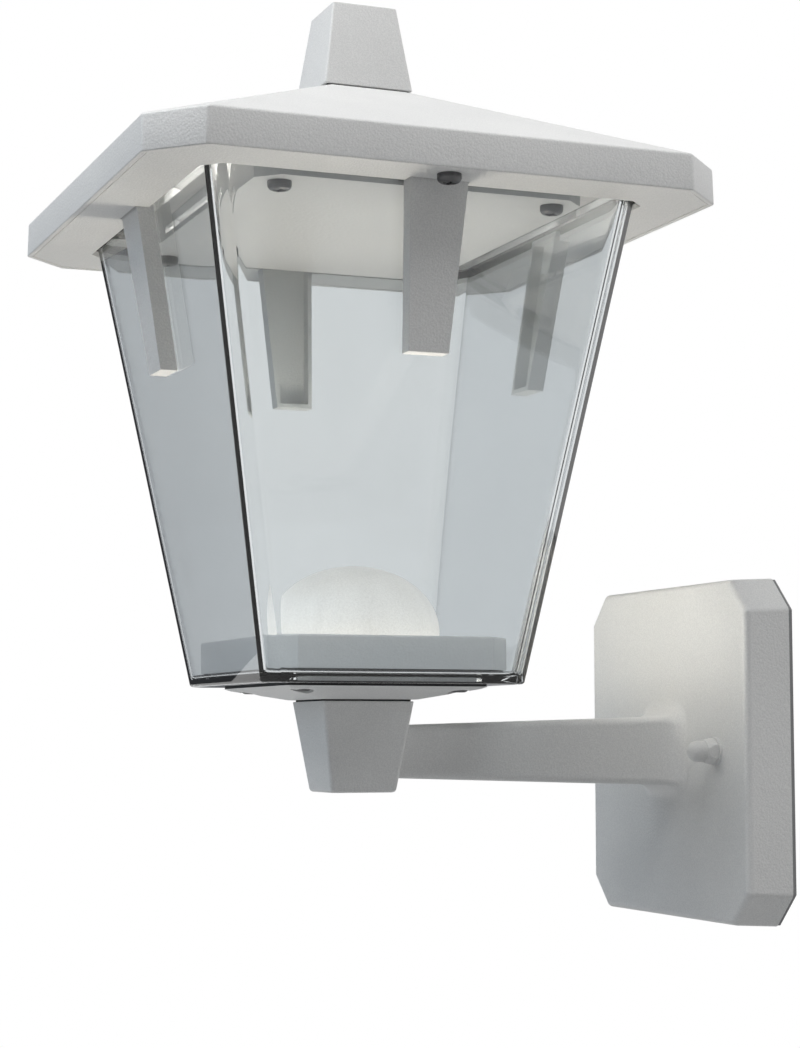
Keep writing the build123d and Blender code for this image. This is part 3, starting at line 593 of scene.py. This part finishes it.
FINISHES: dict[str, Finish] = {
    "white_coat": Finish("white_powder_coat", (0.79, 0.79, 0.78), 0.48, Effect.COAT_GRAIN,
                         0.0008, 0.16, 0.0001),
    "zinc_steel": plated("zinc_plated_steel", (0.62, 0.63, 0.66), 0.34),
    "black_screw": Finish("blackened_steel", (0.05, 0.05, 0.052), 0.36, Effect.WORKED_METAL, 0.0008,
                          0.7, 0.00008, shader=(("Specular IOR Level", 0.8),)),
    "nut_plate": Finish("satin_nut_coat", (0.72, 0.72, 0.71), 0.36, Effect.COAT_GRAIN, 0.0009, 0.12,
                        0.00006),
    "brass_screw": plated("bright_brass", (0.72, 0.55, 0.27), 0.3),
    "seal_foam": moulded("closed_cell_foam", (0.05, 0.05, 0.052), 0.9, 0.0009, 0.00015),
    "black_rubber": moulded("moulded_rubber", (0.035, 0.035, 0.037), 0.65, 0.0006),
    "terminal_plastic": moulded("terminal_plastic", (0.82, 0.81, 0.76), 0.45),
    "driver_case": moulded("driver_case_plastic", (0.17, 0.17, 0.18), 0.5),
    "clear_glass": ClearFinish(
        "clear_pressed_glass", (0.8, 0.825, 0.832), 0.0, Effect.MOULDED_SKIN, 0.03, 0.03, 0.00001,
        variation=0.0, shader=(("Transmission Weight", 1.0), ("IOR", 1.46))),
    "board_white": moulded("white_solder_mask", (0.86, 0.86, 0.84), 0.35, 0.0008),
    "led_phosphor": moulded("lamp_phosphor", (0.88, 0.72, 0.25), 0.5),
    "opal_plastic": moulded(
        "opal_diffuser", (0.84, 0.83, 0.81), 0.38, 0.0007, 0.00001,
        Emission_Color=(1.0, 0.95, 0.88, 1.0), Emission_Strength=0.16),
}
# Finishes of single nodes, in place of their slot's. The tray's and the plinth's are darker copies of the
# white coat: painted shade.
NODE_FINISHES: dict[str, Finish] = {
    # painted shade: the tray's white coat darkened to the grey it shows in the shade inside the lantern
    "tray": Finish("tray_coat_painted_shade", (0.57, 0.575, 0.57), 0.42, Effect.COAT_GRAIN, 0.0012, 0.1, 0.00008),
    # painted shade: the plinth's white coat darkened to the grey of the roof's shadow behind the glass
    "plinth": Finish("plinth_coat_painted_shade", (0.5, 0.51, 0.515), 0.45, Effect.COAT_GRAIN, 0.0009, 0.12,
                     0.00008),
    "wall_gasket": moulded("wall_seal_rubber", (0.25, 0.25, 0.255), 0.7, 0.0006),
}


def dress(piece: bpy.types.Object, slot: str) -> None:
    """Gives a piece its finish.

    Args:
        piece: The object to dress.
        slot: Name of the record's material slot.
    """
    dress_with(piece, FINISHES[slot])


def dress_with(piece: bpy.types.Object, finish: Finish) -> None:
    """Gives a piece one finish in place of what it has.

    Args:
        piece: The object to dress.
        finish: Its finish.
    """
    piece.data.materials.clear()
    piece.data.materials.append(finish.material())


# ---- Sub-assemblies ----
class SubAssembly:
    """A group of pieces that are built and dressed together."""

    def build(self) -> None:
        """Builds and places every piece of the group."""
        raise NotImplementedError

    def place(self, name: str, mesh: bpy.types.Mesh, slot: str, *nodes: str) -> bpy.types.Object:
        """Puts a finished mesh into the scene in place of its CAD nodes.

        Args:
            name: Name of the piece.
            mesh: Its mesh, in metres in the shared frame.
            slot: The record's material slot.
            nodes: The nodes that it stands for.

        Returns:
            The new object.
        """
        piece = bpy.data.objects.new(name, mesh)
        bpy.context.scene.collection.objects.link(piece)
        dress(piece, slot)
        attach(piece, "lantern")
        if nodes:
            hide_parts(*nodes)
        log.info("%s: %d vertices, stands for %s", name, len(mesh.vertices), ", ".join(nodes) or "none")
        return piece


@dataclass
class GlassCup(SubAssembly):
    """Tapered glass with a flange on top and a square hole in its floor, in mm."""

    bottom: float = 23.0
    floor_top: float = 26.5
    bottom_half: float = 47.2
    slope: float = 0.176126
    side: float = 3.0462
    flange_low: float = 190.1
    flange_high: float = 193.6
    flange_half: float = 81.98
    hole_half: float = 34.02
    outer_cut: float = 5.5
    inner_cut: float = 3.7156
    flange_cut: float = 8.8
    hole_cut: float = 3.2
    hole_edge: float = 4.0
    edge: float = 1.2
    inner_edge: float = 6.0

    def half(self, height: float) -> float:
        """Outer half width: the bottom's plus slope times the height above it."""
        return self.bottom_half + self.slope * (height - self.bottom)

    def build(self) -> None:
        """Carries the wall's closed profile round the square outline."""
        inner_low = self.half(self.floor_top) - self.side
        inner_high = self.half(self.flange_high) - self.side
        profile = [
            Station(self.hole_half, self.bottom, self.hole_cut, 0.5, self.hole_edge),
            Station(self.bottom_half, self.bottom, self.outer_cut, self.edge, self.edge),
            Station(self.half(self.flange_low), self.flange_low, self.outer_cut, 0.8, self.edge),
            Station(self.flange_half, self.flange_low, self.flange_cut, 0.6, 1.0),
            Station(self.flange_half, self.flange_high, self.flange_cut, 0.6, 1.0),
            Station(inner_high, self.flange_high, self.inner_cut, 0.6, self.inner_edge),
            Station(inner_low, self.floor_top, self.inner_cut, 1.6, self.inner_edge),
            Station(self.hole_half, self.floor_top, self.hole_cut, 0.5, self.hole_edge),
        ]
        mesh = make_mesh("glass", [block_shell(profile, Ends.LOOP, 6)], 60.0)
        self.place("glass_lantern_body", mesh, "clear_glass", "glass_cup")


@dataclass
class OpalDome(SubAssembly):
    """Flattened opal dome with a short skirt, in mm."""

    radius: float = 30.2
    wall: float = 1.6
    foot: float = 37.8
    foot_cut: float = 0.3
    shoulder: float = 42.0
    rise: float = 23.2
    columns: int = 128
    rows: int = 40

    def curve(self, radius: float, rise: float) -> Array:
        """Quarter ellipse: radius * cos t and shoulder + rise * sin t, t from 0 to a right angle."""
        turn = np.linspace(0, np.pi / 2, self.rows)
        return np.stack([radius * np.cos(turn), self.shoulder + rise * np.sin(turn)], axis=-1)

    def build(self) -> None:
        """Turns the wall's profile from the inner tip down, round the foot and up to the outer tip."""
        thin = self.radius - self.wall
        inner = self.curve(thin, self.rise - self.wall)[::-1]
        cut = self.foot_cut
        foot = np.array([[thin, self.foot + cut], [thin + cut, self.foot],
                         [self.radius - cut, self.foot], [self.radius, self.foot + cut]])
        profile = np.concatenate([inner, foot, self.curve(self.radius, self.rise)])
        shell = turned_shell(profile, self.columns, (0, AXIS_Y), Ends.POLES)
        piece = self.place("opal_dome", make_mesh("dome", [shell], 50.0), "opal_plastic", "dome")
        piece.visible_shadow = False


@dataclass
class Roof(SubAssembly):
    """Pressed roof: a rim, a low four-sided crown and the posts inside, in mm."""

    half: float = 100.0
    top_half: float = 99.7
    rim_low: float = 184.8
    rim_high: float = 197.3
    crown_high: float = 233.1
    flat_half: float = 16.6
    flat_ring: float = 3.0
    flat_ring_cut: float = 0.8
    cut: float = 16.5
    wall: float = 2.0
    skin: float = 2.7
    crown: float = 3.0
    post: float = 4.0
    post_cover: float = 1.2
    posts: tuple[tuple[float, float, float], ...] = (
        (62.48, 48.48, 186.3), (-62.48, 48.48, 186.3), (-62.48, -48.48, 186.3), (62.48, -48.48, 186.3),
        (90.09, 0.0, 188.9), (-90.09, 0.0, 188.9), (0.0, 90.09, 188.9), (0.0, -90.09, 188.9))

    def skin_height(self, distance: float) -> float:
        """Height of the crown's outer face: falls evenly from the flat to the rim."""
        share = (distance - self.flat_half) / (self.top_half - self.flat_half)
        return self.crown_high + (self.rim_high - self.crown_high) * share

    def build(self) -> None:
        """Carries the wall's profile round, and adds the posts that meet its underside."""
        inner = self.half - self.wall
        inner_cut = self.cut - self.wall * CUT_SHRINK
        flat_cut = self.cut * self.flat_half / self.top_half
        slope = (self.crown_high - self.rim_high) / (self.top_half - self.flat_half)
        inner_flat = self.flat_half + (self.crown - self.skin) / slope
        profile = [
            Station(inner_flat, self.crown_high - self.crown, flat_cut, 0.5, 0.6),
            Station(inner, self.rim_high - self.skin, inner_cut, 1.0, 1.5),
            Station(inner, self.rim_low, inner_cut, 0.35, 1.5),
            Station(self.half, self.rim_low, self.cut, 0.5, 2.2),
            Station(self.top_half, self.rim_high, self.cut, 1.4, 2.2),
            Station(self.flat_half, self.crown_high, flat_cut, 0.8, 0.8),
            Station(self.flat_half - self.flat_ring, self.crown_high, flat_cut - self.flat_ring_cut,
                    0.1, 0.5),
        ]
        shells = [block_shell(profile, Ends.CAPPED, 5)]
        for x, y, low in self.posts:
            high = self.skin_height(max(abs(x), abs(y)) + self.post) - self.post_cover
            rows = np.array([[self.post, low], [self.post, high]])
            shells.append(turned_shell(rows, 24, (x, y + AXIS_Y), Ends.CAPPED))
        self.place("roof_casting", make_mesh("roof", shells, 40.0), "white_coat", "roof_shell")


@dataclass
class Claw(SubAssembly):
    """Channel-shaped holder outside the glass, open towards it, in mm.

    Its low marks lie 1 / low_mark_part of the pocket's height above the pocket's
    bottom, and its high marks 1 / high_mark_part below the top.
    """

    name: str = "claw_right"
    quarter_turns: int = 0
    low: float = 130.0
    high: float = 188.9
    soffit: float = 185.1
    length: float = 55.1
    gap: float = 0.3
    depth: float = 6.1
    wall: float = 1.6
    floor: float = 1.8
    top_width: float = 20.4
    bottom_width: float = 14.2
    foot_from: float = 80.88
    foot_to: float = 96.5
    bevel: float = 0.35
    pocket_above: float = 2.0
    mark_half: float = 1.3
    mark_inset: float = 1.6
    mark_height: float = 0.35
    mark_sunk: float = 0.2
    mark_proud: float = 0.4
    low_mark_part: float = 7.0
    high_mark_part: float = 5.0
    glass: GlassCup = field(default_factory=GlassCup)

    def corners(self, height: float, near: float, far: float, shrink: float) -> Array:
        """Level rectangle of the leaning wedge, anticlockwise from the near right corner.

        Its sides lie near and far off the glass, and its width falls evenly with the
        distance below the soffit.

        Args:
            height: Height in mm.
            near: Distance of the inner side from the glass.
            far: Distance of the outer side from the glass.
            shrink: How far each flank moves in.

        Returns:
            Four points, (4, 3).
        """
        share = (self.soffit - height) / self.length
        half = (self.top_width + (self.bottom_width - self.top_width) * share) / 2 - shrink
        inner, outer = self.glass.half(height) + near, self.glass.half(height) + far
        return np.array([[inner, -half, height], [outer, -half, height], [outer, half, height],
                         [inner, half, height]])

    def turned(self, points: Array) -> Array:
        """Points turned about the lantern's axis by quarter turns, in metres."""
        angle = self.quarter_turns * np.pi / 2
        turn = np.array([[np.cos(angle), np.sin(angle), 0], [-np.sin(angle), np.cos(angle), 0], [0, 0, 1]])
        return (points @ turn + (0, AXIS_Y, 0)) * MM

    def build(self) -> None:
        """Joins the wedge, the pocket in its inner side, its foot and the small marks in the pocket."""
        near, far = self.gap, self.gap + self.depth
        outer = np.concatenate([self.corners(z, near, far, 0) for z in (self.low, self.high)])
        pocket_low, pocket_high = self.low + self.floor, self.soffit + self.pocket_above
        hollow = np.concatenate([
            self.corners(z, near, far - self.wall, self.wall) for z in (pocket_low, pocket_high)])
        points = np.concatenate([outer, hollow])
        faces = [(0, 3, 2, 1), (4, 5, 6, 7), (0, 1, 5, 4), (1, 2, 6, 5), (2, 3, 7, 6),
                 (0, 8, 11, 3), (4, 7, 15, 12), (0, 4, 12, 8), (3, 11, 15, 7),
                 (8, 9, 10, 11), (12, 15, 14, 13), (8, 12, 13, 9), (9, 13, 14, 10), (10, 14, 15, 11)]
        foot = self.box(self.foot_from, self.foot_to, self.top_width / 2, pocket_high, self.high)
        blocks = [foot] + self.marks(pocket_low, pocket_high)
        box_faces = np.array([(0, 3, 2, 1), (4, 5, 6, 7), (0, 1, 5, 4), (1, 2, 6, 5), (2, 3, 7, 6),
                              (3, 0, 4, 7)])
        for block in blocks:
            faces += [tuple(face) for face in box_faces + len(points)]
            points = np.concatenate([points, block])
        mesh = bpy.data.meshes.new(self.name)
        mesh.from_pydata(self.turned(points).tolist(), [], faces)
        mesh.polygons.foreach_set("use_smooth", np.ones(len(faces), bool))
        mesh.set_sharp_from_angle(angle=np.radians(40))
        mesh.update()
        piece = self.place(f"{self.name}_channel", mesh, "white_coat", self.name)
        bevel = piece.modifiers.new("edges", "BEVEL")
        bevel.width, bevel.segments, bevel.limit_method = self.bevel * MM, 2, "ANGLE"
        bevel.use_clamp_overlap = True

    def box(self, start: float, end: float, half: float, low: float, high: float) -> Array:
        """Corners of an upright block, (8, 3)."""
        level = np.array([[start, -half], [end, -half], [end, half], [start, half]])
        return np.concatenate([np.column_stack([level, np.full(4, z)]) for z in (low, high)])

    def marks(self, low: float, high: float) -> list[Array]:
        """Two short ribs near the pocket's bottom and two near its top.

        Args:
            low: Height of the pocket's bottom.
            high: Height of the pocket's top.

        Returns:
            Corners of the four ribs, each (8, 3).
        """
        found = []
        for height in (low + (high - low) / self.low_mark_part, high - (high - low) / self.high_mark_part):
            level = self.corners(height, 0, self.gap + self.depth - self.wall, self.wall)
            reach = level[1, 0]
            for side in (-1, 1):
                block = self.box(reach - self.mark_sunk, reach + self.mark_proud, self.mark_half,
                                 height, height + self.mark_height)
                block[:, 1] += side * (level[2, 1] - self.mark_inset)
                found.append(block)
        return found


@dataclass
class Finial(SubAssembly):
    """Hollow tapered cap on the roof, in mm."""

    low: float = 233.7
    high: float = 264.7
    low_half: float = 16.5
    high_half: float = 12.0
    wall: float = 2.6
    top_ring: float = 2.0
    post: float = 4.5
    post_sunk: float = 0.4

    def build(self) -> None:
        """Carries the cap's profile round, from under its top down and up outside."""
        profile = [
            Station(self.high_half - self.wall, self.high - self.wall, 0, 0.5, 0.6),
            Station(self.low_half - self.wall, self.low, 0, 0.2, 0.6),
            Station(self.low_half, self.low, 0, 0.3, 0.9),
            Station(self.high_half, self.high, 0, 0.7, 0.9),
            Station(self.high_half - self.top_ring, self.high, 0, 0.1, 0.4),
        ]
        shell = block_shell(profile, Ends.CAPPED, 5)
        rows = np.array([[self.post, self.low], [self.post, self.high - self.wall + self.post_sunk]])
        post = turned_shell(rows, 32, (0, AXIS_Y), Ends.CAPPED)
        self.place("finial_cap", make_mesh("finial", [shell, post]), "white_coat", "finial")


@dataclass
class Stem(SubAssembly):
    """Tapered block between the arm and the glass, cored from below, in mm."""

    low: float = -14.0
    high: float = 17.5
    low_half: float = 12.05
    high_half: float = 16.9
    core_half: float = 10.0
    roof: float = 3.4
    top_ring: float = 2.0

    def build(self) -> None:
        """Carries the block's profile round, from the core's top down and up outside."""
        profile = [
            Station(self.core_half, self.high - self.roof, 0, 0.4, 2.0),
            Station(self.core_half, self.low, 0, 0.2, 2.0),
            Station(self.low_half, self.low, 0, 1.3, 1.6),
            Station(self.high_half, self.high, 0, 0.3, 1.6),
            Station(self.high_half - self.top_ring, self.high, 0, 0.1, 1.2),
        ]
        mesh = make_mesh("stem", [block_shell(profile, Ends.CAPPED, 6)], 50.0)
        self.place("stem_casting", mesh, "white_coat", "stem_block")


# ---- Camera and light ----
@dataclass(frozen=True)
class Viewpoint:
    """Camera at the photograph's viewing angle, in metres and degrees."""

    place: tuple[float, float, float] = (0.75551, -0.41641, 0.00581)
    heading: float = 21.19
    rise: float = 5.28
    roll: float = -0.04
    lens: float = 102.787

    def build(self) -> None:
        """Aims the camera: forward is (-cos a cos p, sin a cos p, sin p)."""
        a, p, r = np.radians([self.heading, self.rise, self.roll])
        forward = np.array([-np.cos(a) * np.cos(p), np.sin(a) * np.cos(p), np.sin(p)])
        level = np.array([np.sin(a), np.cos(a), 0.0])
        above = np.cross(level, forward)
        right = level * np.cos(r) + above * np.sin(r)
        up = np.cross(right, forward)
        data = bpy.data.cameras.new("viewpoint")
        data.sensor_fit, data.sensor_width, data.lens = "HORIZONTAL", 36.0, self.lens
        data.clip_start, data.clip_end = 0.02, 20.0
        camera = bpy.data.objects.new("viewpoint", data)
        bpy.context.scene.collection.objects.link(camera)
        turn = Matrix(np.column_stack([right, up, -forward]).tolist()).to_4x4()
        camera.matrix_world = Matrix.Translation(self.place) @ turn
        bpy.context.scene.camera = camera


class LampKind(Enum):
    """Shapes of lamp."""

    PANEL = "AREA"
    BALL = "POINT"


@dataclass(frozen=True)
class Lamp:
    """A soft lamp aimed at a point, in metres and watts.

    Attributes:
        name: Name of the lamp.
        place: Where it stands.
        target: The point it is aimed at.
        width: Width of a panel, or the diameter of a ball.
        height: Height of a panel.
        power: Its power.
        colour: Its colour, linear.
        kind: Its shape.
        mirrored: Whether shiny surfaces show it.
    """

    name: str
    place: tuple[float, float, float]
    target: tuple[float, float, float]
    width: float
    height: float
    power: float
    colour: Colour = (1.0, 1.0, 1.0)
    kind: LampKind = LampKind.PANEL
    mirrored: bool = True

    def build(self) -> None:
        """Adds the lamp; its local Z points away from the target."""
        data = bpy.data.lights.new(self.name, self.kind.value)
        if self.kind is LampKind.PANEL:
            data.shape, data.size, data.size_y = "RECTANGLE", self.width, self.height
        else:
            data.shadow_soft_size = self.width / 2
        data.energy, data.color = self.power, self.colour
        lamp = bpy.data.objects.new(self.name, data)
        lamp.visible_camera = lamp.visible_transmission = False
        lamp.visible_glossy = self.mirrored
        bpy.context.scene.collection.objects.link(lamp)
        away = np.array(self.place) - np.array(self.target)
        away /= np.linalg.norm(away)
        side = np.cross((0, 0, 1), away)
        side = side / np.linalg.norm(side) if np.linalg.norm(side) > 1e-6 else np.array([1.0, 0, 0])
        turn = Matrix(np.column_stack([side, np.cross(away, side), away]).tolist()).to_4x4()
        lamp.matrix_world = Matrix.Translation(self.place) @ turn


MIDDLE = (0, -0.1, 0.1)  # what the panels are aimed at, in metres


@dataclass
class Studio:
    """Pale floor, white surroundings and soft lamps, in metres.

    Attributes:
        floor_height: Height of the floor.
        floor_radius: Radius of the floor.
        floor_points: Points round the floor's rim.
        floor_tone: Colour of the floor in the object's light.
        fade: Distances from the middle between which the floor turns fully white.
        floor_share: Share of white in the floor at its middle.
        surround: Strength of the even light from all sides.
        surround_tone: Colour of that light.
        dark_side: Direction in which shiny surfaces find the surroundings dark.
        dark_edge: Cosines between which that darkness sets in.
        dark_tone: Colour of that darkness.
        lamps: The lamps.
    """

    floor_height: float = -0.32
    floor_radius: float = 3.0
    floor_points: int = 96
    floor_tone: Colour = (0.55, 0.55, 0.55)
    fade: tuple[float, float] = (0.5, 1.6)
    floor_share: float = 0.65
    surround: float = 0.06
    surround_tone: Colour = (0.93, 0.96, 1.0)
    dark_side: tuple[float, float, float] = (-0.93, -0.37, 0.0)
    dark_edge: tuple[float, float] = (0.35, 0.85)
    dark_tone: Colour = (0.1, 0.105, 0.115)
    lamps: tuple[Lamp, ...] = (
        Lamp("overhead_right", (0.62, -0.3, 1.15), MIDDLE, 0.7, 0.7, 7.3),
        Lamp("overhead_front", (-0.05, -0.85, 1.1), MIDDLE, 0.7, 0.7, 8.2),
        Lamp("left_front", (-0.35, -1.35, 0.45), MIDDLE, 0.8, 0.8, 3.8, (0.75, 0.88, 1.0)),
        Lamp("left_back", (-1.25, -0.8, 0.6), MIDDLE, 0.8, 0.8, 1.5, mirrored=False),
        Lamp("right_back", (0.55, 1.2, 0.5), MIDDLE, 0.8, 0.8, 7.5, mirrored=False),
        Lamp("lit_dome", (0, -0.1414, 0.053), (0, -0.1414, 0.2), 0.03, 0.03, 0.38, (1.0, 0.9, 0.77),
             LampKind.BALL),
        Lamp("roof_space", (0, -0.1414, 0.213), (0, -0.1414, 0.0), 0.02, 0.02, 0.36, (1.0, 0.94, 0.88),
             LampKind.BALL, False),
    )

    def build(self) -> None:
        """Adds the floor, the world and the lamps."""
        self.world()
        self.floor()
        for lamp in self.lamps:
            lamp.build()

    def seen_plainly(self, network: Network) -> bpy.types.NodeSocket:
        """1 for rays from the camera, from a mirror or through glass, else 0."""
        path = network.node("ShaderNodeLightPath").outputs
        either = network.maths("MAXIMUM", path["Is Camera Ray"], path["Is Glossy Ray"])
        return network.maths("MAXIMUM", either, path["Is Transmission Ray"])

    def world(self) -> None:
        """White where it is seen, and a dimmer even light where it falls on the object."""
        world = bpy.data.worlds.new("surroundings")
        world.use_nodes = True
        network = Network(world.node_tree)
        seen = self.seen_plainly(network)
        path = network.node("ShaderNodeLightPath").outputs
        mirrored = network.maths("GREATER_THAN", path["Is Glossy Ray"], path["Is Transmission Ray"])
        way = network.node("ShaderNodeTexCoord").outputs["Generated"]
        towards = network.node("ShaderNodeVectorMath", {0: way, 1: self.dark_side}, operation="DOT_PRODUCT")
        darkness = network.ramp(towards.outputs["Value"], *self.dark_edge)
        shade = network.maths("MULTIPLY", darkness, mirrored)
        shown = network.blend(shade, (1.0, 1.0, 1.0), self.dark_tone)
        even = {0: (*self.surround_tone, 1), 1: self.surround}
        plain = network.node("ShaderNodeBackground", even).outputs[0]
        white = network.node("ShaderNodeBackground", {0: shown, 1: 1.0}).outputs[0]
        both = network.node("ShaderNodeMixShader", {0: seen, 1: plain, 2: white}).outputs[0]
        network.node("ShaderNodeOutputWorld", {"Surface": both})
        bpy.context.scene.world = world

    def floor(self) -> None:
        """Pale round floor that fades into the white surroundings and keeps a soft shadow."""
        angle = np.linspace(0, 2 * np.pi, self.floor_points, endpoint=False)
        rim = np.column_stack([np.cos(angle), np.sin(angle), 0 * angle]) * self.floor_radius
        mesh = bpy.data.meshes.new("floor")
        mesh.from_pydata((rim + (0, 0, self.floor_height)).tolist(), [], [tuple(range(self.floor_points))])
        material = bpy.data.materials.new("pale_floor")
        material.use_nodes = True
        network = Network(material.node_tree)
        place = network.node("ShaderNodeTexCoord").outputs["Object"]
        away = network.node("ShaderNodeVectorMath", {0: place}, operation="LENGTH").outputs["Value"]
        fade = network.ramp(away, *self.fade)
        share = network.maths("MULTIPLY_ADD", fade, 1 - self.floor_share, self.floor_share)
        seen = network.maths("MULTIPLY", share, self.seen_plainly(network))
        matt = network.node("ShaderNodeBsdfDiffuse", {"Color": (*self.floor_tone, 1)}).outputs[0]
        white = network.node("ShaderNodeEmission", {"Color": (1, 1, 1, 1), "Strength": 1.0}).outputs[0]
        both = network.node("ShaderNodeMixShader", {0: seen, 1: matt, 2: white}).outputs[0]
        network.node("ShaderNodeOutputMaterial", {"Surface": both})
        mesh.materials.append(material)
        floor = bpy.data.objects.new("pale_floor", mesh)
        bpy.context.scene.collection.objects.link(floor)


def main() -> None:
    """Loads the frame, dresses its nodes, and builds the finer pieces, the camera and the light."""
    logging.basicConfig(level=logging.INFO, format="%(name)s: %(message)s")
    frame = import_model()
    for row in frame["record"]["subparts"]:
        dress(frame["nodes"][row["node"]], row["material_slot"])
        log.info("%s: dressed as %s", row["node"], row["material_slot"])
    for node, finish in NODE_FINISHES.items():
        dress_with(frame["nodes"][node], finish)
    sides = (("claw_right", 0), ("claw_rear", 1), ("claw_left", 2), ("claw_front", 3))
    groups: list[SubAssembly] = [GlassCup(), OpalDome(), Roof(), Finial(), Stem()]
    groups += [Claw(name, turns) for name, turns in sides]
    for group in groups:
        group.build()
    Viewpoint().build()
    Studio().build()
    bpy.context.scene.view_settings.view_transform = "Standard"


if __name__ == "__main__":
    main()
